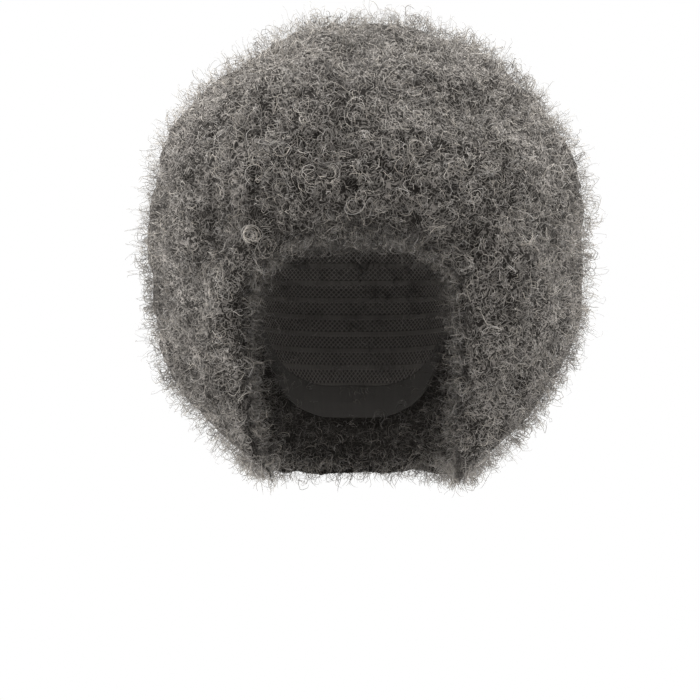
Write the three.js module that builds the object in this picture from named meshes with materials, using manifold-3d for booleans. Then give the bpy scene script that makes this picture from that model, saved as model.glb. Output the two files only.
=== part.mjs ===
// An afro wig: a ball of tight grey curls on a fitted cap, in the form that it has on a head.
// Millimetres. +Z is up, -Y is the wearer's front and +X the wearer's left.
// The origin is the top of the head, on the inner face of the cap's crown.
import * as THREE from "three";
import { mergeVertices } from "three/addons/utils/BufferGeometryUtils.js";
import Module from "manifold-3d";

const wasm = await Module();
wasm.setup();

// Driving sizes of the head that the cap is cut for
const headBreadth = 156; // side to side, above the ears
const headLength = 198; // forehead to the back of the head
const headRise = 90; // top of the head down to its widest level

// Driving sizes of the cap
const capWall = 1.6; // stretch net
const bandWall = 2.2; // doubled tape of the bands and tabs
const seamGap = 0.4; // between two pieces sewn edge to edge
const hairGap = 0.7; // between the bands and the backing of the hair

// Driving sizes of the hair, all measured to the tips of its locks
const hairOver = 103; // above the top of the head
const hairBeside = 88; // beyond the head at each side
const hairAhead = 58; // in front of the forehead
const hairBehind = 70; // behind the back of the head
const hairHang = 243; // top of the head down to the foot of the whole ball
const hairWidest = 63; // top of the head down to the ball's widest level
const hairLean = 9; // the ball sits this far to the wearer's left
const frontTuck = 62; // how far the lowest locks beside the face lie back from the foremost ones
const faceRound = 44; // how far the opening for the face widens, on a curve, to the foremost curls
const neckRound = 16; // how far the opening for the neck widens at the bottom

// Driving sizes of one lock
const lockWidth = 47; // at its root
const lockStand = 15; // height above the backing
const lockScatter = 0.2; // radians that a lock may stray from its even place
const lockCount = 190; // on a whole ball, before the opening is cut
const ballDetail = 17; // cuts of each edge of the icosahedron that the ball is made from

// Roundness of the outlines, as exponents of a superellipse, where 2 is an ellipse
const headPlanRound = 2.2;
const headDomeRound = 2.15;
const hairTopRound = 2;
const hairFootRound = 2.35;

const halfBreadth = headBreadth / 2;
const halfLength = headLength / 2;
const goldenAngle = Math.PI * (3 - Math.sqrt(5));
const seamTurn = THREE.MathUtils.radToDeg(seamGap / 2 / halfBreadth); // half a seam's gap, in degrees

// The head below its widest level, where it narrows to the neck.
// Shares of headRise down, of halfBreadth to each side and of halfLength to the front and the back.
const headTaper = [
  { level: "widest", drop: 1, side: 1, front: 1, back: 1 },
  { level: "ears", drop: 1.35, side: 0.97, front: 0.98, back: 0.94 },
  { level: "below the ears", drop: 1.75, side: 0.9, front: 0.92, back: 0.8 },
  { level: "nape", drop: 2.1, side: 0.84, front: 0.86, back: 0.69 },
  { level: "neck", drop: 2.5, side: 0.81, front: 0.8, back: 0.64 },
  { level: "below the hair", drop: 3.4, side: 0.81, front: 0.8, back: 0.64 },
];

// The cap's two edges, from the middle of the forehead (0 degrees) round to the nape (180 degrees).
// seam is where the net ends and the bands start, and edge is where the bands end, in shares of headRise.
const capEdges = [
  { place: "forehead", turn: 0, seam: 0.5, edge: 0.64 },
  { place: "forehead corner", turn: 34, seam: 0.54, edge: 0.68 },
  { place: "temple", turn: 54, seam: 0.78, edge: 0.95 },
  { place: "front of the ear tab", turn: 66, seam: 0.98, edge: 1.36 },
  { place: "foot of the ear tab", turn: 75, seam: 1.02, edge: 1.5 },
  { place: "back of the ear tab", turn: 86, seam: 1, edge: 1.3 },
  { place: "over the ear", turn: 97, seam: 0.98, edge: 1.12 },
  { place: "behind the ear", turn: 112, seam: 1.12, edge: 1.3 },
  { place: "side of the nape", turn: 132, seam: 1.6, edge: 1.84 },
  { place: "nape", turn: 156, seam: 1.8, edge: 2.05 },
  { place: "middle of the nape", turn: 180, seam: 1.82, edge: 2.08 },
];
const turnStep = 6; // degrees between the corners of the cap's facets, which its bands share
const hollowStep = 0.125; // levels between the rings of the hair's hollow
const flareRings = 7; // rings over the curve by which the face opening widens
const faceMiddle = 1.5; // the face opening widens away from here, in shares of headRise down
const faceSteps = 26; // facets round the face opening
const tabFront = 10 * turnStep; // where the front band meets an ear tab
const tabBack = 16 * turnStep; // where an ear tab meets the nape band

// The opening for the face, seen from the front.
// Shares of halfBreadth to each side and of headRise down.
const faceEdge = [
  { place: "middle of the forehead", side: 0, drop: 0.72 },
  { place: "forehead", side: 0.42, drop: 0.74 },
  { place: "forehead corner", side: 0.74, drop: 0.86 },
  { place: "temple", side: 0.87, drop: 1.06 },
  { place: "cheekbone", side: 0.92, drop: 1.4 },
  { place: "cheek", side: 0.89, drop: 1.9 },
  { place: "jaw", side: 0.84, drop: 2.25 },
  { place: "neck", side: 0.85, drop: 2.45 },
  { place: "foot of the hair", side: 1.1, drop: 2.7 },
  { place: "below the hair", side: 1.4, drop: 3 },
];

const palette = {
  hair: { color: 0x77736f, roughness: 0.9 },
  net: { color: 0x2b2826, roughness: 0.95 },
  band: { color: 0x35312e, roughness: 0.85 },
};

const materialOf = (look) => new THREE.MeshStandardMaterial({ metalness: 0, ...palette[look] });

// The power of a sine or cosine that turns a circle into a superellipse
const bulge = (value, round) => Math.sign(value) * Math.abs(value) ** (2 / round);

// A repeatable number from 0 to 1 for one thing and one of its traits
function scatter(thing, trait) {
  const wave = Math.sin(thing * 12.9898 + trait * 78.233) * 43758.5453;
  return wave - Math.floor(wave);
}

// Reads a table's column at a place along its key, on a smooth curve through the rows
function readTable(table, key, at, column) {
  const last = table.length - 1;
  let row = table.findIndex((entry) => entry[key] > at) - 1;
  if (row < 0) row = at < table[0][key] ? 0 : last - 1;
  const slope = (i) => {
    const before = table[Math.max(0, i - 1)];
    const after = table[Math.min(last, i + 1)];
    return i === 0 || i === last ? 0 : (after[column] - before[column]) / (after[key] - before[key]);
  };
  const span = table[row + 1][key] - table[row][key];
  const t = THREE.MathUtils.clamp((at - table[row][key]) / span, 0, 1);
  const start = table[row][column];
  const end = table[row + 1][column];
  const rise = t * t * (3 - 2 * t);
  const lift = t * (1 - t) * ((1 - t) * slope(row) - t * slope(row + 1)) * span;
  return start + (end - start) * rise + lift;
}

// A point on the head, grown by an offset.
// turn is in degrees round from the forehead, and drop in shares of headRise.
function headPoint(turn, drop, offset) {
  const angle = THREE.MathUtils.degToRad(turn);
  const reach = { side: 1, front: 1, back: 1 };
  let spread = 1;
  let height = -drop * headRise;
  if (drop < 1) {
    const rise = 1 - drop;
    spread = (1 - rise ** headDomeRound) ** (1 / headDomeRound);
    height = rise * (headRise + offset) - headRise;
  } else {
    for (const way of Object.keys(reach)) reach[way] = readTable(headTaper, "drop", drop, way);
  }
  const ahead = Math.cos(angle) > 0 ? reach.front : reach.back;
  return new THREE.Vector3(
    (halfBreadth * reach.side + offset) * spread * bulge(Math.sin(angle), headPlanRound),
    -(halfLength * ahead + offset) * spread * bulge(Math.cos(angle), headPlanRound),
    height,
  );
}

// A level runs evenly down the head's curve, and reaches 1 at its widest.
// These turn a drop into a level and back.
const levelOf = (drop) => (drop < 1 ? (Math.acos(1 - drop) * 2) / Math.PI : drop);
const dropOf = (level) => (level < 1 ? 1 - Math.cos((level * Math.PI) / 2) : level);

// Turns that are measured the other way round read the same table
const edgeDrop = (turn, column) => {
  const round = Math.abs(THREE.MathUtils.euclideanModulo(turn + 180, 360) - 180);
  return readTable(capEdges, "turn", round, column);
};

// A geometry from its points and triangles
function shellOf(points, triangles) {
  const geometry = new THREE.BufferGeometry().setFromPoints(points);
  geometry.setIndex(triangles.flat());
  geometry.computeVertexNormals();
  return geometry;
}

// Joins two rings of the same number of points with a band of triangles
function bandBetween(upper, lower, count) {
  const faces = [];
  for (let i = 0; i < count; i++) {
    const next = (i + 1) % count;
    faces.push([upper + i, lower + i, lower + next], [upper + i, lower + next, upper + next]);
  }
  return faces;
}

// A solid from closed rings, listed from its first pole to its last
function ringSolid(firstPole, rings, lastPole) {
  const count = rings[0].length;
  const points = [firstPole, ...rings.flat(), lastPole];
  const end = points.length - 1;
  const faces = [];
  for (let i = 0; i < count; i++) {
    const next = (i + 1) % count;
    faces.push([0, 1 + i, 1 + next], [end, end - count + next, end - count + i]);
  }
  for (let ring = 0; ring < rings.length - 1; ring++) {
    faces.push(...bandBetween(1 + ring * count, 1 + (ring + 1) * count, count));
  }
  return shellOf(points, faces);
}

// The net dome: down its outer face to the seam, and back up its inner face
function capGeometry() {
  const down = 9;
  const ring = (share, offset) =>
    Array.from({ length: 360 / turnStep }, (_, i) => {
      const turn = i * turnStep;
      const seam = edgeDrop(turn, "seam") - seamGap / headRise;
      return headPoint(turn, dropOf(share * levelOf(seam)), offset);
    });
  const shares = Array.from({ length: down }, (_, i) => (i + 1) / down);
  return ringSolid(
    new THREE.Vector3(0, 0, capWall),
    [...shares.map((share) => ring(share, capWall)), ...shares.toReversed().map((share) => ring(share, 0))],
    new THREE.Vector3(0, 0, 0),
  );
}

// A strip of the edge between the seam and the edge, from one turn to another
function bandGeometry(fromTurn, toTurn) {
  const steps = (toTurn - fromTurn) / turnStep;
  const section = (turn) => {
    const seam = edgeDrop(turn, "seam");
    const edge = edgeDrop(turn, "edge");
    const corners = [
      [seam, 0],
      [(seam + edge) / 2, 0],
      [edge, 0],
      [edge, bandWall],
      [(seam + edge) / 2, bandWall],
      [seam, bandWall],
    ];
    return corners.map(([drop, offset]) => headPoint(turn, drop, offset));
  };
  const middle = (points) =>
    points.reduce((sum, point) => sum.add(point), new THREE.Vector3()).divideScalar(points.length);
  const inside = (turn) => THREE.MathUtils.clamp(turn, fromTurn + seamTurn, toTurn - seamTurn);
  const sections = Array.from({ length: steps + 1 }, (_, i) => section(inside(fromTurn + i * turnStep)));
  return ringSolid(middle(sections[0]), sections, middle(sections[steps]));
}

// A point on the ball of hair, grown by an offset. polar is 0 at the top and pi at the foot.
function ballPoint(turn, polar, offset) {
  const up = Math.cos(polar) > 0;
  const round = up ? hairTopRound : hairFootRound;
  const spread = bulge(Math.sin(polar), round);
  const tall = up ? hairOver + hairWidest : hairHang - hairWidest;
  const low = up ? 0 : Math.cos(polar) ** 2;
  const front = Math.cos(turn) > 0 ? halfLength + hairAhead - frontTuck * low : halfLength + hairBehind;
  return new THREE.Vector3(
    hairLean + (halfBreadth + hairBeside + offset) * spread * Math.sin(turn),
    -(front + offset) * spread * Math.cos(turn),
    -hairWidest + (tall + offset) * bulge(Math.cos(polar), round),
  );
}

// The root of each lock on the ball, scattered about a golden spiral, with its own width and height
function lockRoots() {
  return Array.from({ length: lockCount }, (_, i) => {
    const polar = Math.acos(1 - (2 * (i + 0.5)) / lockCount) + lockScatter * (scatter(i, 1) - 0.5);
    const turn = i * goldenAngle + (lockScatter / Math.max(Math.sin(polar), 0.2)) * (scatter(i, 2) - 0.5);
    return {
      seat: ballPoint(turn, polar, 0),
      radius: (lockWidth / 2) * (0.85 + 0.3 * scatter(i, 3)),
      stand: lockStand * (0.8 + 0.2 * scatter(i, 4)),
    };
  });
}

// The ball with its locks fused to the backing: every point stands on the highest rounded lock over it
function ballGeometry() {
  const locks = lockRoots();
  const geometry = mergeVertices(bareCopy(new THREE.IcosahedronGeometry(1, ballDetail)), 1e-5);
  const points = geometry.getAttribute("position");
  const direction = new THREE.Vector3();
  for (let i = 0; i < points.count; i++) {
    direction.fromBufferAttribute(points, i).normalize();
    const polar = Math.acos(THREE.MathUtils.clamp(direction.z, -1, 1));
    const turn = Math.atan2(direction.x, -direction.y);
    const tip = ballPoint(turn, polar, 0);
    const heights = locks.map(({ seat, radius, stand }) => {
      const away = tip.distanceTo(seat) / radius;
      return away < 1 ? stand * Math.sqrt(1 - away * away) : 0;
    });
    const placed = ballPoint(turn, polar, Math.max(...heights) - lockStand);
    points.setXYZ(i, placed.x, placed.y, placed.z);
  }
  return geometry;
}

// The space of the head and neck, with the neck's end widened
function headHollowGeometry() {
  const offset = bandWall + hairGap;
  const foot = headTaper.at(-1).drop;
  const rings = Math.round(headTaper.at(-2).drop / hollowStep);
  const drops = Array.from({ length: rings }, (_, i) => dropOf((i + 1) * hollowStep));
  const ring = (drop) => {
    const widen = neckRound * THREE.MathUtils.smoothstep(drop * headRise, hairHang - 2 * neckRound, hairHang);
    return Array.from({ length: 360 / turnStep }, (_, i) => headPoint(i * turnStep, drop, offset + widen));
  };
  const bottom = new THREE.Vector3(0, 0, -foot * headRise);
  return ringSolid(new THREE.Vector3(0, 0, offset), [...drops, foot].map(ring), bottom);
}

// The space in front of the face, which widens forwards on a quarter of an ellipse
function faceHollowGeometry() {
  const right = faceEdge.map((row) => ({ x: row.side * halfBreadth, z: -row.drop * headRise }));
  const left = right.slice(1).map(({ x, z }) => ({ x: -x, z }));
  const corners = [...left.toReversed(), ...right].map(({ x, z }) => new THREE.Vector2(x, z));
  const outline = new THREE.SplineCurve(corners).getSpacedPoints(faceSteps).map((p) => ({ x: p.x, z: p.y }));
  const heart = { x: 0, z: -faceMiddle * headRise };
  const ring = (ahead, widen) =>
    outline.map(({ x, z }) => {
      const away = new THREE.Vector2(x - heart.x, Math.max(z - heart.z, 0)).normalize();
      return new THREE.Vector3(x + away.x * widen, -ahead, z + away.y * widen);
    });
  const flare = Array.from({ length: flareRings }, (_, i) => {
    const turn = (i * Math.PI) / 2 / (flareRings - 1);
    return ring(halfLength + hairAhead * Math.sin(turn), faceRound * (1 - Math.cos(turn)));
  });
  const clear = halfLength + 2 * hairAhead;
  return ringSolid(
    new THREE.Vector3(heart.x, 0, heart.z),
    [ring(0, 0), ...flare, ring(clear, 3 * faceRound)],
    new THREE.Vector3(heart.x, -clear, heart.z),
  );
}

// A copy of a geometry that keeps only its positions
function bareCopy(geometry) {
  const bare = geometry.clone();
  bare.deleteAttribute("normal");
  bare.deleteAttribute("uv");
  return bare;
}

// A closed geometry as a solid that can be joined and cut
function solidOf(geometry) {
  const merged = mergeVertices(bareCopy(geometry), 1e-4);
  return new wasm.Manifold(
    new wasm.Mesh({
      numProp: 3,
      vertProperties: new Float32Array(merged.attributes.position.array),
      triVerts: new Uint32Array(merged.index.array),
    }),
  );
}

// A joined or cut solid as a geometry again
function geometryOf(solid) {
  const mesh = solid.getMesh();
  const geometry = new THREE.BufferGeometry();
  geometry.setAttribute("position", new THREE.BufferAttribute(mesh.vertProperties, 3));
  geometry.setIndex(new THREE.BufferAttribute(mesh.triVerts, 1));
  geometry.computeVertexNormals();
  return geometry;
}

// The hair: locks fused to their backing, and hollow for the head, neck and face
function hairGeometry() {
  const hollow = solidOf(headHollowGeometry()).add(solidOf(faceHollowGeometry()));
  return geometryOf(solidOf(ballGeometry()).subtract(hollow));
}

function piece(name, geometry, look) {
  const mesh = new THREE.Mesh(geometry, materialOf(look));
  mesh.name = name;
  return mesh;
}

const wig = new THREE.Group();
wig.add(
  piece("cap", capGeometry(), "net"),
  piece("front_band", bandGeometry(-tabFront, tabFront), "band"),
  piece("ear_tab_left", bandGeometry(tabFront, tabBack), "band"),
  piece("ear_tab_right", bandGeometry(-tabBack, -tabFront), "band"),
  piece("nape_band", bandGeometry(tabBack, 360 - tabBack), "band"),
  piece("hair", hairGeometry(), "hair"),
);

export default wig;
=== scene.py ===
# An afro wig of tight grey curls on a stretch net cap, held up as a head holds it
import math

import bpy
import numpy as np
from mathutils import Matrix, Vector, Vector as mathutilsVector


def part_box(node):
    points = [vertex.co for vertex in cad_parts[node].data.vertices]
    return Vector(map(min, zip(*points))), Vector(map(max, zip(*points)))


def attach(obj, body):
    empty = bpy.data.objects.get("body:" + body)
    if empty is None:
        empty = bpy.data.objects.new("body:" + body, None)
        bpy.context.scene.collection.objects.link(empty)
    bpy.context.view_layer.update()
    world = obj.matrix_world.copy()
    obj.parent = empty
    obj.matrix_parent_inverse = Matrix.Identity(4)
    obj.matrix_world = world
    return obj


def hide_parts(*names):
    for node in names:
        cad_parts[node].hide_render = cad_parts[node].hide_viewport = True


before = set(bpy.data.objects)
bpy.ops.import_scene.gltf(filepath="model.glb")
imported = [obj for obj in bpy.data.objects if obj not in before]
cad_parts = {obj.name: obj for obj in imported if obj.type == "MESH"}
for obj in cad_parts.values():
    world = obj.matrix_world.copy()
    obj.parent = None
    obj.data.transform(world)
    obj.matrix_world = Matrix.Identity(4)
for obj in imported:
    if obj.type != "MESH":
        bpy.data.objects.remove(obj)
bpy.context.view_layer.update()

millimetre = 0.001
rng = np.random.default_rng(27)
print("frame loaded:", sorted(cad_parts))

# Camera: level with the face, at the distance from which the head was seen

cameraSettings = {
    "place": (-0.0027, -1.8, -0.137),
    "aim": (math.radians(90), 0, 0),
    "lens": 129.3,
    "sensor": 36,
}


def addCamera(s):
    data = bpy.data.cameras.new("camera")
    data.lens = s["lens"]
    data.sensor_width = s["sensor"]
    camera = bpy.data.objects.new("camera", data)
    camera.location = s["place"]
    camera.rotation_euler = s["aim"]
    bpy.context.collection.objects.link(camera)
    bpy.context.scene.camera = camera


addCamera(cameraSettings)


# Shader maths, written as Python expressions


class Wire:
    # A socket that takes arithmetic. Each operation adds one Math node.
    def __init__(self, shader, socket):
        self.shader = shader
        self.socket = socket

    def math(self, operation, *others):
        return self.shader.add("ShaderNodeMath", {"operation": operation}, dict(enumerate([self, *others])))

    def __add__(self, other):
        return self.math("ADD", other)

    def __mul__(self, other):
        return self.math("MULTIPLY", other)

    def __sub__(self, other):
        return self.math("SUBTRACT", other)

    def __rsub__(self, other):
        return self.shader.add("ShaderNodeMath", {"operation": "SUBTRACT"}, {0: other, 1: self})

    __radd__ = __add__
    __rmul__ = __mul__

    def fract(self):
        return self.math("FRACT")

    def size(self):
        return self.math("ABSOLUTE")

    def most(self, other):
        return self.math("MAXIMUM", other)

    # The angle whose tangent is this over the other
    def over(self, other):
        return self.math("ARCTAN2", other)

    # 0 below low, 1 above high, and a smooth rise between them
    def ramp(self, low, high):
        settings = {"interpolation_type": "SMOOTHSTEP"}
        return self.shader.add("ShaderNodeMapRange", settings, {0: self, 1: low, 2: high, 3: 0.0, 4: 1.0})


class Shader:
    # A material whose nodes are added by one method
    def __init__(self, name):
        self.material = bpy.data.materials.new(name)
        self.material.use_nodes = True
        self.tree = self.material.node_tree
        self.tree.nodes.clear()

    # Adds a node: its settings are set first, then its sockets get values or links
    def add(self, kind, settings=None, sockets=None, output=0):
        node = self.tree.nodes.new(kind)
        for key, value in (settings or {}).items():
            if key == "stops":
                self.setStops(node.color_ramp, value)
            else:
                setattr(node, key, value)
        for key, value in (sockets or {}).items():
            if isinstance(value, Wire):
                self.tree.links.new(value.socket, node.inputs[key])
            else:
                node.inputs[key].default_value = value
        return Wire(self, node.outputs[output])

    def setStops(self, ramp, stops):
        while len(ramp.elements) < len(stops):
            ramp.elements.new(0.5)
        for element, (place, colour) in zip(ramp.elements, stops):
            element.position = place
            element.color = (*colour, 1)

    def place(self):
        return self.add("ShaderNodeTexCoord", output="Object")

    def split(self, vector):
        first = self.add("ShaderNodeSeparateXYZ", None, {0: vector})
        return [Wire(self, socket) for socket in first.socket.node.outputs]

    def attribute(self, name):
        return self.add("ShaderNodeAttribute", {"attribute_name": name}, output="Fac")

    def noise(self, place, scale, detail):
        return self.add("ShaderNodeTexNoise", None, {"Vector": place, "Scale": scale, "Detail": detail})

    def colours(self, wire, stops):
        return self.add("ShaderNodeValToRGB", {"stops": stops}, {0: wire})

    # Mixes two colours by a factor
    def mix(self, factor, first, second, blend="MIX"):
        settings = {"data_type": "RGBA", "blend_type": blend}
        return self.add("ShaderNodeMix", settings, {0: factor, 6: first, 7: second}, output=2)

    def vector(self, operation, *values):
        return self.add("ShaderNodeVectorMath", {"operation": operation}, dict(enumerate(values)))

    def bump(self, height, strength, distance):
        sockets = {"Height": height, "Strength": strength, "Distance": distance}
        return self.add("ShaderNodeBump", None, sockets)

    # The surface shader, with constants set on its own sockets
    def finish(self, sockets):
        shader = self.add("ShaderNodeBsdfPrincipled", None, sockets)
        output = self.tree.nodes.new("ShaderNodeOutputMaterial")
        self.tree.links.new(shader.socket, output.inputs["Surface"])
        return self.material


# Hair fibre: each strand has its own grey, darker at its root and near the cap from painted shade in its
# tone, with a faint warm or cool cast
fibreLook = {
    "greys": [
        (0.0, (0.012, 0.011, 0.010)),
        (0.3, (0.066, 0.060, 0.055)),
        (0.6, (0.177, 0.163, 0.149)),
        (0.85, (0.280, 0.261, 0.241)),
        (1.0, (0.355, 0.332, 0.309)),
    ],
    "warm": (0.53, 0.50, 0.43, 1),
    "cool": (0.47, 0.49, 0.51, 1),
    "castShare": 0.5,
    "roughness": 0.55,
    "sheen": 0.1,
    "specular": 0.12,
}


def fibreMaterial(s):
    shader = Shader("curl_fibre")
    tone = shader.attribute("tone")
    cast = shader.attribute("cast")
    grey = shader.colours(tone, s["greys"])
    tint = shader.mix(cast, s["warm"], s["cool"])
    colour = shader.mix(s["castShare"], grey, tint, "OVERLAY")
    return shader.finish({
        "Base Color": colour,
        "Roughness": s["roughness"],
        "Sheen Weight": s["sheen"],
        "Specular IOR Level": s["specular"],
    })


# The depth of the hair: bent fibres that cross each other over dark gaps, in layers of several sizes. Its
# greys, darker than the fibres' and near black in the gaps, are painted shade deep under the curls.
depthLook = {
    "layers": [
        {"size": 9.0 * millimetre, "levels": 6.5, "shift": 0.0},
        {"size": 7.0 * millimetre, "levels": 6.0, "shift": 3.1},
        {"size": 5.4 * millimetre, "levels": 5.2, "shift": 7.7},
        {"size": 4.4 * millimetre, "levels": 4.6, "shift": 11.3},
        {"size": 7.8 * millimetre, "levels": 6.2, "shift": 17.9},
    ],
    "line": (0.6, 0.95),  # how near to a level a fibre starts, and is at its palest
    "breakScale": 1.3,  # of the noise that breaks the fibres up, against their own
    "break": (0.43, 0.56),
    "clumpSize": 22 * millimetre,
    "clump": (0.3, 0.75),
    "lineShare": 0.75,
    "clumpShare": 0.25,
    # painted shade: greys darker than the fibres', near black in the gaps between fibres
    "greys": [
        (0.0, (0.007, 0.006, 0.005)),
        (0.35, (0.022, 0.020, 0.018)),
        (0.7, (0.078, 0.072, 0.066)),
        (1.0, (0.165, 0.152, 0.140)),
    ],
    "roughness": 0.8,
    "specular": 0.04,
    "bump": (0.6, 0.6 * millimetre),
}


# One layer of fibres: thin lines where a smooth noise passes through evenly spaced levels,
# which curve and close on themselves as curls do, broken up by a second noise
def fibreLines(shader, place, layer, s):
    moved = shader.vector("ADD", place, (layer["shift"],) * 3)
    height = shader.noise(moved, 1 / layer["size"], 0.0)
    wave = (height * layer["levels"]).fract() - 0.5
    line = 1 - wave.size() * 2
    broken = shader.noise(moved, s["breakScale"] / layer["size"], 1.0)
    return line.ramp(*s["line"]) * broken.ramp(*s["break"])


def depthMaterial(s):
    shader = Shader("hair_depth_painted_shade")
    place = shader.place()
    lines = fibreLines(shader, place, s["layers"][0], s)
    for layer in s["layers"][1:]:
        lines = lines.most(fibreLines(shader, place, layer, s))
    clumps = shader.noise(place, 1 / s["clumpSize"], 2.0).ramp(*s["clump"])
    # the depth trait darkens the tone towards the cap: painted shade
    tone = (lines * s["lineShare"] + clumps * s["clumpShare"]) * shader.attribute("depth")
    return shader.finish({
        "Base Color": shader.colours(tone, s["greys"]),
        "Roughness": s["roughness"],
        "Specular IOR Level": s["specular"],
        "Normal": shader.bump(lines, *s["bump"]),
    })


# Meshes


# Puts points and triangles into a new mesh object, with one value a point for each named trait
def meshPiece(name, points, triangles, traits, material):
    mesh = bpy.data.meshes.new(name)
    mesh.vertices.add(len(points))
    mesh.vertices.foreach_set("co", points.astype(np.float32).ravel())
    mesh.loops.add(triangles.size)
    mesh.loops.foreach_set("vertex_index", triangles.astype(np.int32).ravel())
    mesh.polygons.add(len(triangles))
    mesh.polygons.foreach_set("loop_start", np.arange(0, triangles.size, 3, dtype=np.int32))
    mesh.update(calc_edges=True)
    mesh.shade_smooth()
    for trait, values in traits.items():
        layer = mesh.attributes.new(trait, "FLOAT", "POINT")
        layer.data.foreach_set("value", values.astype(np.float32).ravel())
    mesh.materials.append(material)
    piece = bpy.data.objects.new(name, mesh)
    bpy.context.collection.objects.link(piece)
    return piece


def readPoints(mesh):
    points = np.empty(len(mesh.vertices) * 3, np.float32)
    mesh.vertices.foreach_get("co", points)
    return points.reshape(-1, 3).astype(float)


def readTriangles(mesh):
    mesh.calc_loop_triangles()
    triangles = np.empty(len(mesh.loop_triangles) * 3, np.int32)
    mesh.loop_triangles.foreach_get("vertices", triangles)
    return triangles.reshape(-1, 3)


def unit(vectors):
    return vectors / np.maximum(np.linalg.norm(vectors, axis=-1, keepdims=True), 1e-12)


# Normals at the points: the sum of the crossed edges of each triangle round a point, made unit length
def pointNormals(points, triangles):
    a, b, c = (points[triangles[:, i]] for i in range(3))
    faces = np.cross(b - a, c - a)
    normals = np.zeros_like(points)
    for i in range(3):
        for axis in range(3):
            normals[:, axis] += np.bincount(triangles[:, i], faces[:, axis], len(points))
    return unit(normals)


# Each pass moves every value half of the way to the mean of its neighbours
def smoothed(values, triangles, passes):
    start = np.concatenate([triangles[:, [0, 1, 2]].ravel(), triangles[:, [1, 2, 0]].ravel()])
    end = np.concatenate([triangles[:, [1, 2, 0]].ravel(), triangles[:, [0, 1, 2]].ravel()])
    count = np.bincount(start, minlength=len(values))[:, None]
    for _ in range(passes):
        total = np.stack([np.bincount(start, values[end, axis], len(values)) for axis in range(3)], 1)
        values = (values + total / count) / 2
    return values


waveCount = 30


# A smooth random field: the sum of waves of one length that run in random directions
def waves(points, length):
    directions = unit(rng.normal(size=(waveCount, 3))) * 2 * math.pi / length
    phases = rng.uniform(0, 2 * math.pi, waveCount)
    total = np.zeros(len(points))
    for direction, phase in zip(directions, phases):
        total += np.sin(points @ direction + phase)
    return total * math.sqrt(2 / waveCount)


# 0 below low, 1 above high, and a smooth rise between them
def smoothStep(values, low, high):
    t = np.clip((values - low) / (high - low), 0, 1)
    return t * t * (3 - 2 * t)


massSettings = {
    "voxel": 4.3 * millimetre,  # of the remeshed copy
    "smoothing": 4,  # passes over the whole of it
    "softening": 64,  # more passes where it is free of the cap
    "sink": 5.4 * millimetre,  # the mass lies this far under the tips of its curls
    "clumps": [(32 * millimetre, 1.0 * millimetre), (12 * millimetre, 0.6 * millimetre)],
    "crown": 4 * millimetre,  # how much further the upper part of the ball stands out
    "crownRange": (0.1, 0.5),  # the upward part of the way from the middle, where that starts and is whole
    "foot": (188 * millimetre, 212 * millimetre),  # below the origin, where the foot starts and is whole
    "level": 227 * millimetre,  # below the origin, where the foot is cut off nearly level
    "levelWaves": (28 * millimetre, 2.5 * millimetre),  # length and height of the waves in that level
    "underside": (0.2, 0.7),  # the downward part of a normal, where the levelling starts and is whole
    "bowl": {
        "middle": (8 * millimetre, 2 * millimetre),
        "top": -67 * millimetre,  # the bowl narrows below this height
        "depth": 171 * millimetre,  # and would close this far below it
        "radius": 160 * millimetre,
        "least": 67 * millimetre,  # half the width of the foot
    },
    "easing": 12,  # more passes near the foot, after the bowl
    "easingRange": (170 * millimetre, 200 * millimetre),  # below the origin, where they start and are whole
    "ruffle": 0.5 * millimetre,  # random rise and fall from point to point, which frays the outline
    "capReach": (8 * millimetre, 20 * millimetre),  # from the cap, where the wall starts to be free and is so
}


# The solid's own surface, evenly remeshed
def remeshedCopy(node, voxel):
    source = node.copy()
    source.data = node.data.copy()
    bpy.context.collection.objects.link(source)
    weld = source.modifiers.new("weld", "WELD")
    weld.merge_threshold = 0.00001
    remesh = source.modifiers.new("remesh", "REMESH")
    remesh.mode = "VOXEL"
    remesh.voxel_size = voxel
    evaluated = source.evaluated_get(bpy.context.evaluated_depsgraph_get())
    mesh = bpy.data.meshes.new_from_object(evaluated)
    points, triangles = readPoints(mesh), readTriangles(mesh)
    bpy.data.objects.remove(source)
    bpy.data.meshes.remove(mesh)
    return points, triangles


# How far each point is from the nearest point of a coarse cloud, in blocks to save memory
def nearestDistance(points, cloud):
    least = np.empty(len(points))
    square = (cloud ** 2).sum(1)
    for start in range(0, len(points), 4000):
        block = points[start:start + 4000]
        squares = (block ** 2).sum(1)[:, None] + square - 2 * block @ cloud.T
        least[start:start + 4000] = np.sqrt(np.maximum(squares.min(1), 0))
    return least


# The places across, with those outside a bowl drawn in to it. Level, the bowl is a square with round
# corners, where the fourth powers of both distances add up to that of its radius, and upright it is
# an ellipse.
def insideBowl(points, s):
    away = points[:, :2] - np.array(s["middle"])
    down = np.clip((s["top"] - points[:, 2]) / s["depth"], 0, 1)
    reach = np.maximum(s["radius"] * np.sqrt(1 - down ** 2), s["least"])
    distance = (away ** 4).sum(1) ** 0.25
    return np.array(s["middle"]) + away * np.minimum(1, reach / distance)[:, None]


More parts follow.
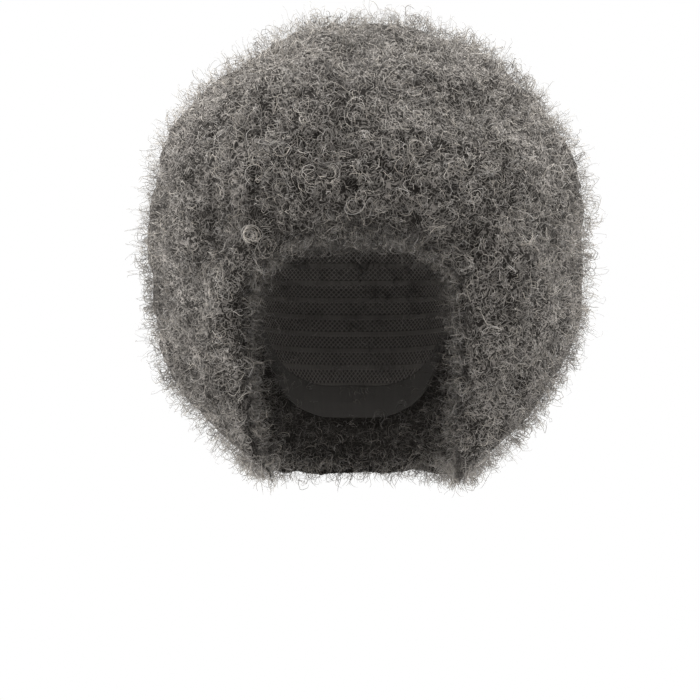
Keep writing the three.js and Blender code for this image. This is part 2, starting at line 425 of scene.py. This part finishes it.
# The mass under the curls: the solid's surface, softened, let down by the depth of the curls and raised
# in clumps. What the softening takes off is softened too and put back, so that the whole keeps its size.
# Where the mass lies against the cap it stays as it is. Its foot is cut off nearly level and drawn in to
# a bowl.
def massSurface(s):
    points, triangles = remeshedCopy(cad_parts["hair"], s["voxel"])
    points = smoothed(points, triangles, s["smoothing"])
    shell = np.concatenate([readPoints(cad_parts[name].data) for name in capNodes])
    fromCap = nearestDistance(points, shell)
    free = smoothStep(fromCap, *s["capReach"])
    soft = smoothed(points, triangles, s["softening"])
    soft = soft + smoothed(points - soft, triangles, s["softening"])
    points = points + (soft - points) * free[:, None]
    normals = pointNormals(points, triangles)
    way = unit(points - ballMiddle)[:, 2]
    nearFoot = smoothStep(-points[:, 2], *s["foot"])
    lift = -s["sink"] + sum(height * waves(points, length) for length, height in s["clumps"])
    lift = lift + s["crown"] * smoothStep(way, *s["crownRange"])
    points = points + normals * (lift * free)[:, None]
    level = -s["level"] + s["levelWaves"][1] * waves(points, s["levelWaves"][0])
    under = free * nearFoot * smoothStep(-normals[:, 2], *s["underside"])
    points[:, 2] = np.maximum(points[:, 2] * (1 - under) + level * under, level)
    points[:, :2] = insideBowl(points, s["bowl"])
    eased = smoothed(points, triangles, s["easing"])
    points = points + (eased - points) * (free * smoothStep(-points[:, 2], *s["easingRange"]))[:, None]
    points = points + normals * (s["ruffle"] * rng.normal(size=len(points)) * free)[:, None]
    return points, triangles, fromCap


capNodes = ["cap", "front_band", "ear_tab_left", "ear_tab_right", "nape_band"]
ballMiddle = (np.array(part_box("hair")[0]) + np.array(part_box("hair")[1])) / 2
massPoints, massTriangles, massFromCap = massSurface(massSettings)
print("hair mass:", len(massTriangles), "triangles")

# Painted shade: the hair is darkest at the cap and grows paler outwards, as shade deep in the hair would make
# it, with paler and darker patches of two sizes
paintedRootShade = {
    "reach": (4 * millimetre, 72 * millimetre),
    "least": 0.5,
    "patches": [(15 * millimetre, 0.03), (48 * millimetre, 0.05)],
}
massShadeAndPatches = paintedRootShade["least"] + (1 - paintedRootShade["least"]) * smoothStep(massFromCap, *paintedRootShade["reach"])
for patchLength, patchShare in paintedRootShade["patches"]:
    massShadeAndPatches = massShadeAndPatches * (1 + patchShare * waves(massPoints, patchLength))


# What every piece of the hair says to the frame
def dressHair(piece):
    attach(piece, "root")
    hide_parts("hair")


# The mass carries the painted root shade, with its patches, as its depth trait
dressHair(meshPiece("hair_mass", massPoints, massTriangles, {"depth": massShadeAndPatches}, depthMaterial(depthLook)))


# Curls


# Locks: strands that curl side by side round one middle
lockSettings = {
    "clumps": 1750,
    "strands": 5,  # to a clump
    "points": 7,  # along a strand
    "turns": (0.3, 0.72),
    "turnsScatter": (0.75, 1.25),  # of the strands of a clump
    "radius": (2.4 * millimetre, 6.2 * millimetre),
    "radiusScatter": (0.5, 1.25),  # of the strands of a clump
    "widening": (-0.3, 0.5),  # of the coil from root to tip, as a share of its radius
    "opening": (-0.1, 0.22),  # along the strand, where the coil starts to open and has its radius
    "phaseScatter": 0.7,  # radians
    "pitch": (0.3 * millimetre, 2.6 * millimetre),  # rise along the coil's axis in a turn
    "stand": (0.5 * millimetre, 10.0 * millimetre),  # height of the coil's middle over the mass
    "standScatter": (0.8, 1.15),  # of the strands of a clump
    "stem": (-0.15, 0.4),  # along the strand, where it starts to rise and has its height
    "crowd": 1.3,  # how strongly the coils crowd towards the mass
    "wander": 1.2 * millimetre,  # how far a strand strays from a true coil
    "bends": (0.8, 1.7),  # turns of its two slow waves from root to tip
    "spread": 0.6 * millimetre,  # between the roots of a clump
    "lean": (0.0, 1.1),  # radians between a coil's axis and the surface's normal
    "droop": 0.0,  # fall of the tip
    "droopPower": 1.5,
    "near": (2.5 * millimetre, 8.0 * millimetre),  # the roots start between these distances from the cap
    "far": 1.0,  # and end at this one, in metres
    "heights": (-1.0, 1.0),  # and they lie between these heights
    "front": 1.0,  # and in front of this
    "shade": 1.0,  # how much of the painted root shade they have
    "thickness": 0.24 * millimetre,  # from a strand's middle line to its corners, at the root
    "thicknessScatter": (0.6, 1.2),
    "taper": 0.5,  # share of the thickness that is gone at the tip
    "toneAlong": (0.75, 0.3),  # painted shade along the strand: share of the tone at the root, and how much is added up to the tip
    "tone": 0.62,
    "toneScatter": (0.06, 0.27),  # of the clumps, and of the strands in one
}

# Tangle: single short arcs that cross the locks
tangleSettings = lockSettings | {
    "clumps": 14300,
    "strands": 1,
    "points": 6,
    "turns": (0.24, 0.5),
    "radius": (2.6 * millimetre, 6.2 * millimetre),
    "crowd": 1.0,
    "lean": (0.0, 1.4),
    "thickness": 0.215 * millimetre,
    "tone": 0.64,
    "toneScatter": (0.0, 0.27),
}

# Wisps: thin loops that stand free of the outline
wispSettings = lockSettings | {
    "clumps": 10600,
    "strands": 1,
    "points": 5,
    "turns": (0.2, 0.42),
    "radius": (2.0 * millimetre, 5.0 * millimetre),
    "stand": (3.0 * millimetre, 17.0 * millimetre),
    "crowd": 1.2,
    "lean": (0.5, 1.57),
    "thickness": 0.13 * millimetre,
    "tone": 0.8,
    "toneScatter": (0.0, 0.18),
}

# Hairline: short curls that hang over the edge of the opening
hairlineSettings = lockSettings | {
    "clumps": 300,
    "strands": 2,
    "radius": (2.0 * millimetre, 5.0 * millimetre),
    "stand": (1.0 * millimetre, 6.0 * millimetre),
    "droop": 7.0 * millimetre,
    "near": (1.5 * millimetre, 4.0 * millimetre),
    "far": 18 * millimetre,
    "shade": 0.4,
    "thickness": 0.16 * millimetre,
    "tone": 0.68,
    "toneScatter": (0.05, 0.3),
}

# Foot: curls that hang from the underside round the neck
footSettings = hairlineSettings | {
    "clumps": 650,
    "heights": (-1.0, -212 * millimetre),
    "near": lockSettings["near"],
    "far": 1.0,
    "thickness": 0.2 * millimetre,
}

# Forehead: tighter curls of the same kind, close together over the forehead. Their tone, paler than the
# locks', is painted light that lifts the shade under the overhang.
foreheadSettings = hairlineSettings | {
    "clumps": 600,
    "points": 9,
    "turns": (0.6, 1.1),
    "radius": (1.6 * millimetre, 4.4 * millimetre),
    "stand": (0.5 * millimetre, 5.0 * millimetre),
    "heights": (-105 * millimetre, 1.0),
    "front": -20 * millimetre,
    "droop": 3.0 * millimetre,
    "far": 36 * millimetre,
    "shade": 0.25,
    "thickness": 0.23 * millimetre,
    "tone": 0.74,
    "toneScatter": (0.06, 0.34),
}

# Brow: more tangle on the front of the ball below its crown, where the hair is seen square on
browSettings = tangleSettings | {
    "clumps": 700,
    "heights": (-1.0, 10 * millimetre),
    "front": -95 * millimetre,
}

# Ringlets: pale whole rings that lie open on the front.
# Each has its place across and above the origin, its radius and its tone.
ringletSettings = lockSettings | {
    "strands": 3,
    "points": 15,
    "turns": (0.75, 1.15),
    "radiusScatter": (0.75, 1.1),
    "phaseScatter": 0.8,
    "stand": (8.0 * millimetre, 10.0 * millimetre),
    "wander": 0.9 * millimetre,
    "spread": 0.6 * millimetre,
    "lean": (0.0, 0.5),
    "toneScatter": (0.0, 0.06),
    "places": [
        {"across": -67.9, "above": -61.8, "radius": 5.2, "tone": 1.0},
        {"across": -67.0, "above": -60.0, "radius": 3.2, "tone": 0.9},
        {"across": -65.9, "above": -57.9, "radius": 4.8, "tone": 0.92},
        {"across": 70.7, "above": -123.4, "radius": 4.6, "tone": 0.85},
        {"across": -43.4, "above": -10.1, "radius": 5.4, "tone": 0.70},
        {"across": -11.4, "above": -21.4, "radius": 5.0, "tone": 0.68},
        {"across": 1.3, "above": -38.1, "radius": 5.2, "tone": 0.68},
        {"across": 40.7, "above": -8.1, "radius": 6.2, "tone": 0.70},
        {"across": -64.2, "above": -19.4, "radius": 6.2, "tone": 0.70},
        {"across": 29.4, "above": -59.5, "radius": 4.0, "tone": 0.78},
        {"across": -80.2, "above": -30.1, "radius": 5.0, "tone": 0.68},
    ],
}


# Random places on the mass, by area, between two distances from the cap,
# with the surface's normal and painted root shade there
def rootsOn(s, count):
    a, b, c = (massPoints[massTriangles[:, i]] for i in range(3))
    cross = np.cross(b - a, c - a)
    free = smoothStep(massFromCap, *s["near"]) * (massFromCap < s["far"])
    free = free * (massPoints[:, 1] < s["front"])
    free = free * (massPoints[:, 2] > s["heights"][0]) * (massPoints[:, 2] < s["heights"][1])
    weight = np.linalg.norm(cross, axis=1) * free[massTriangles].mean(1)
    chosen = rng.choice(len(massTriangles), count, p=weight / weight.sum())
    u, v = rng.random((2, count, 1))
    flip = u + v > 1
    u, v = np.where(flip, 1 - u, u), np.where(flip, 1 - v, v)
    roots = a[chosen] + u * (b - a)[chosen] + v * (c - a)[chosen]
    return roots, unit(cross[chosen]), massShadeAndPatches[massTriangles].mean(1)[chosen]


leastFacing = 0.3  # forward part of a normal, from which a point counts as facing forwards


# Of the points of the mass that face forwards, those nearest to the listed places, seen from the front
def rootsAt(places):
    normals = pointNormals(massPoints, massTriangles)
    front = np.flatnonzero((normals[:, 1] < -leastFacing) & (massPoints[:, 1] < ballMiddle[1]))
    aims = np.array([[row["across"], row["above"]] for row in places]) * millimetre
    away = np.linalg.norm(massPoints[front][None, :, [0, 2]] - aims[:, None], axis=2)
    chosen = front[away.argmin(1)]
    return massPoints[chosen], normals[chosen], massShadeAndPatches[chosen]


# The middle line of each strand. A stem rises from the root along the normal while a helix opens round it,
# whose axis leans from the normal. Two slow waves bend each strand off the true coil.
# The strands of a clump share one helix, apart from changes of radius, phase and place.
def curlPaths(s, roots, normals, radii):
    clumps = len(roots)
    each = s["strands"]
    count = clumps * each

    def pick(low, high):
        return np.repeat(rng.uniform(low, high, (clumps, 1)), each, axis=0)

    def repeat(values):
        return np.repeat(values, each, axis=0)

    sideways = unit(np.cross(normals, rng.normal(size=(clumps, 3))))
    lean = rng.uniform(*s["lean"], (clumps, 1))
    axis = unit(normals * np.cos(lean) + sideways * np.sin(lean))
    first = unit(np.cross(axis, rng.normal(size=(clumps, 3))))
    second = repeat(np.cross(axis, first))
    axis, first, normals = repeat(axis), repeat(first), repeat(normals)

    along = np.linspace(0, 1, s["points"])[None, :]
    hand = repeat(np.where(rng.random((clumps, 1)) < 0.5, 1, -1))
    turns = pick(*s["turns"]) * rng.uniform(*s["turnsScatter"], (count, 1))
    phase = pick(0, 2 * math.pi) + rng.normal(0, s["phaseScatter"], (count, 1))
    angle = phase + hand * turns * 2 * math.pi * along
    reach = repeat(radii) * rng.uniform(*s["radiusScatter"], (count, 1)) * (1 + pick(*s["widening"]) * along)
    reach = reach * smoothStep(along, *s["opening"])
    stand = s["stand"][0] + (s["stand"][1] - s["stand"][0]) * pick(0, 1) ** s["crowd"]
    rise = stand * rng.uniform(*s["standScatter"], (count, 1)) * smoothStep(along, *s["stem"])

    path = (repeat(roots) + rng.normal(0, 1, (count, 3)) * s["spread"])[:, None, :]
    path = path + normals[:, None, :] * rise[..., None]
    path = path + axis[:, None, :] * (pick(*s["pitch"]) * turns * along)[..., None]
    path = path + first[:, None, :] * (reach * np.cos(angle))[..., None]
    path = path + second[:, None, :] * (reach * np.sin(angle))[..., None]
    path = path - np.array([0, 0, s["droop"]]) * (along ** s["droopPower"])[..., None]
    for speed in s["bends"]:
        start = rng.uniform(0, 2 * math.pi, (count, 1, 3))
        bend = np.sin(2 * math.pi * speed * along[..., None] + start) - np.sin(start)
        path = path + bend * s["wander"] / speed * rng.random((count, 1, 1))
    return path, axis


# A three-sided tube along each path, pointed and closed at both ends.
# Its sides lie across the path: one towards the coil's axis, and one square to both.
def tubes(paths, axes, radius):
    count, steps, _ = paths.shape
    tangents = unit(np.gradient(paths, axis=1))
    side = unit(np.cross(tangents, axes[:, None, :]))
    up = np.cross(side, tangents)
    corner = np.arange(3) * 2 * math.pi / 3
    ring = side[:, :, None, :] * np.cos(corner)[:, None] + up[:, :, None, :] * np.sin(corner)[:, None]
    rings = paths[:, 1:-1, None, :] + ring[:, 1:-1] * radius[:, 1:-1, None, None]
    points = np.concatenate([paths[:, :1], rings.reshape(count, -1, 3), paths[:, -1:]], 1)
    each = points.shape[1]
    around, after = np.arange(3), (np.arange(3) + 1) % 3
    rows = 1 + 3 * np.arange(steps - 3)[:, None]
    start, beside = rows + around, rows + after
    walls = np.stack([start, beside, beside + 3, start, beside + 3, start + 3], -1).reshape(-1, 3)
    last = each - 4
    root = np.stack([np.zeros(3, int), 1 + after, 1 + around], -1)
    tip = np.stack([np.full(3, each - 1), last + around, last + after], -1)
    one = np.concatenate([walls, root, tip])
    triangles = (one[None] + each * np.arange(count)[:, None, None]).reshape(-1, 3)
    return points, triangles


# The part of the ball that each root is in: its crown, or a quarter round it
crownAngle = math.radians(57)
sectorNames = ["front", "left", "back", "right", "crown"]


def sectorOf(roots):
    way = roots - ballMiddle
    polar = np.arccos(way[:, 2] / np.linalg.norm(way, axis=1))
    turn = np.arctan2(way[:, 0], -way[:, 1])
    quarter = np.round(turn / (math.pi / 2)).astype(int) % 4
    return np.where(polar < crownAngle, 4, quarter)


# A set of curls as tubes: the points and triangles of all, and for each strand its sector,
# the greys along it, which rise from root to tip as painted shade, and its cast
def curlSet(s):
    if "places" in s:
        roots, normals, depth = rootsAt(s["places"])
        radii = np.array([[row["radius"]] for row in s["places"]]) * millimetre
        tones = np.array([row["tone"] for row in s["places"]])
    else:
        roots, normals, depth = rootsOn(s, s["clumps"])
        radii = rng.uniform(*s["radius"], (s["clumps"], 1))
        tones = s["tone"] + rng.uniform(-1, 1, s["clumps"]) * s["toneScatter"][0]
    paths, axes = curlPaths(s, roots, normals, radii)
    along = np.linspace(0, 1, s["points"])
    thickness = s["thickness"] * rng.uniform(*s["thicknessScatter"], (len(paths), 1))
    points, triangles = tubes(paths, axes, thickness * (1 - s["taper"] * along ** 2))
    tones = np.repeat(tones, s["strands"]) + rng.uniform(-1, 1, len(paths)) * s["toneScatter"][1]
    # Painted shade: strands rooted near the cap are darker, by their set's share of the root shade
    tones = np.clip(tones * np.repeat(1 - s["shade"] * (1 - depth), s["strands"]), 0, 1)
    # growth carries the painted shade along each strand, darkest at its root
    growth = np.concatenate([along[:1], np.repeat(along[1:-1], 3), along[-1:]])
    return {
        "points": points,
        "triangles": triangles,
        "sector": np.repeat(sectorOf(roots), s["strands"]),
        "tone": tones[:, None] * (s["toneAlong"][0] + s["toneAlong"][1] * growth),
        "cast": np.repeat(rng.random((len(paths), 1)), len(growth), 1),
    }


# The triangles of the chosen strands, renumbered for their own points from a first number.
# A strand has two end points, and six triangles for each of its rings of three points.
def trianglesOf(curls, chosen, first):
    each = curls["points"].shape[1]
    one = curls["triangles"][:6 * (each - 2) // 3]
    return (one[None] + each * np.arange(chosen.sum())[:, None, None]).reshape(-1, 3) + first


# One piece for each sector, with the strands of all the sets that are rooted there
def addCurls(sets, material):
    for index, name in enumerate(sectorNames):
        chosen = [curls["sector"] == index for curls in sets]
        points = [curls["points"][mine].reshape(-1, 3) for curls, mine in zip(sets, chosen)]
        first = np.cumsum([0] + [len(part) for part in points])
        parts = [trianglesOf(curls, mine, start) for curls, mine, start in zip(sets, chosen, first)]
        traits = {
            trait: np.concatenate([curls[trait][mine].ravel() for curls, mine in zip(sets, chosen)])
            for trait in ("tone", "cast")
        }
        triangles = np.concatenate(parts)
        dressHair(meshPiece("curls_" + name, np.concatenate(points), triangles, traits, material))
        print("curls", name, ":", len(triangles), "triangles")


hairSets = (
    lockSettings,
    tangleSettings,
    wispSettings,
    hairlineSettings,
    footSettings,
    foreheadSettings,
    ringletSettings,
    browSettings,
)
addCurls([curlSet(s) for s in hairSets], fibreMaterial(fibreLook))


# Cap and bands

netLook = {
    "middle": -90 * millimetre,  # height of the point that the rows run round
    "radius": 90 * millimetre,
    "thread": 1.7 * millimetre,  # between the threads of the net
    "weft": 12 * millimetre,  # between the rows of weft tape
    "net": (0.030, 0.027, 0.025, 1),
    "fibre": (0.120, 0.110, 0.100, 1),
    "tape": (0.075, 0.069, 0.063, 1),
    "threadWidth": 0.35,  # share of the space between threads
    "tapeEdge": (0.12, 0.15),  # half the width of a tape, as a share of the space between rows
    "roughness": 0.9,
    "specular": 0.2,
    "bump": (0.6, 0.6 * millimetre),
}


# Thin lines at every whole number of a wire
def linesAt(wire, width):
    return ((wire.fract() - 0.5).size() * 2).ramp(1 - width, 1 - width / 3)


def netMaterial(s):
    shader = Shader("stretch_net")
    place = shader.place()
    x, y, z = shader.split(place)
    turn = x.over(y)
    polar = (x * x + y * y).math("SQRT").over(z - s["middle"])
    across = turn * (s["radius"] / s["thread"])
    down = polar * (s["radius"] / s["thread"])
    width = s["threadWidth"]
    slant = linesAt((across + down) * 0.5, width).most(linesAt((across - down) * 0.5, width))
    row = (polar * (s["radius"] / s["weft"])).fract() - 0.5
    tape = 1 - row.size().ramp(*s["tapeEdge"])
    stitch = linesAt(polar * (3 * s["radius"] / s["thread"]), 0.5) * linesAt(across * 0.7, 0.9)
    net = shader.mix(slant, s["net"], s["fibre"])
    colour = shader.mix(tape, net, s["tape"])
    height = slant * (1 - tape) * 0.5 + tape + tape * stitch * 0.4
    return shader.finish({
        "Base Color": shader.mix(tape * stitch * 0.5, colour, s["fibre"]),
        "Roughness": s["roughness"],
        "Specular IOR Level": s["specular"],
        "Normal": shader.bump(height, *s["bump"]),
    })


bandLook = {
    "radius": 90 * millimetre,
    "thread": 0.9 * millimetre,
    "dark": (0.026, 0.024, 0.022, 1),
    "pale": (0.078, 0.072, 0.066, 1),
    "roughness": 0.85,
    "specular": 0.25,
    "bump": (0.6, 0.3 * millimetre),
}


def bandMaterial(s):
    shader = Shader("woven_band")
    place = shader.place()
    x, y, z = shader.split(place)
    across = x.over(y) * (s["radius"] / s["thread"])
    down = z * (1 / s["thread"])
    twill = linesAt(across + down * 0.5, 0.8) * (0.6 + 0.4 * linesAt(down, 0.9))
    return shader.finish({
        "Base Color": shader.mix(twill, s["dark"], s["pale"]),
        "Roughness": s["roughness"],
        "Specular IOR Level": s["specular"],
        "Normal": shader.bump(twill, *s["bump"]),
    })


def paintCap():
    net, band = netMaterial(netLook), bandMaterial(bandLook)
    for name in capNodes:
        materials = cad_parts[name].data.materials
        materials.clear()
        materials.append(net if name == "cap" else band)


paintCap()
print("cap and bands painted")

# Floor, lights and surroundings

stageSettings = {
    "floorHeight": -1.7,  # as a standing person's head is over it
    "floorHalf": 9.0,
    "floorColour": (0.9, 0.9, 0.9, 1),
    "floorGlow": 0.15,
    "sky": 1.0,
    "lamps": [
        {"name": "left_side", "place": (1.6, 0.15, 0.1), "size": 1.2, "power": 51},
        {"name": "right_side", "place": (-1.6, 0.15, 0.1), "size": 1.2, "power": 85},
        {"name": "top", "place": (0.32, 0.15, 1.7), "size": 1.2, "power": 133},
    ],
}


def addStage(s):
    half = s["floorHalf"]
    corners = [(-half, -half), (half, -half), (half, half), (-half, half)]
    mesh = bpy.data.meshes.new("floor")
    mesh.from_pydata([(x, y, s["floorHeight"]) for x, y in corners], [], [(0, 1, 2, 3)])
    shader = Shader("floor_paint")
    paint = {
        "Base Color": s["floorColour"],
        "Roughness": 0.9,
        "Emission Color": (1, 1, 1, 1),
        "Emission Strength": s["floorGlow"],
    }
    mesh.materials.append(shader.finish(paint))
    floor = bpy.data.objects.new("floor", mesh)
    bpy.context.collection.objects.link(floor)
    for lamp in s["lamps"]:
        data = bpy.data.lights.new(lamp["name"], "AREA")
        data.shape = "DISK"
        data.size = lamp["size"]
        data.energy = lamp["power"]
        light = bpy.data.objects.new(lamp["name"], data)
        light.location = lamp["place"]
        aim = mathutilsVector(ballMiddle - np.array(lamp["place"]))
        light.rotation_euler = aim.to_track_quat("-Z", "Y").to_euler()
        bpy.context.collection.objects.link(light)
    world = bpy.data.worlds.new("surroundings")
    bpy.context.scene.world = world
    world.use_nodes = True
    world.node_tree.nodes["Background"].inputs["Color"].default_value = (1, 1, 1, 1)
    world.node_tree.nodes["Background"].inputs["Strength"].default_value = s["sky"]
    bpy.context.scene.view_settings.view_transform = "Standard"


addStage(stageSettings)
print("stage ready")
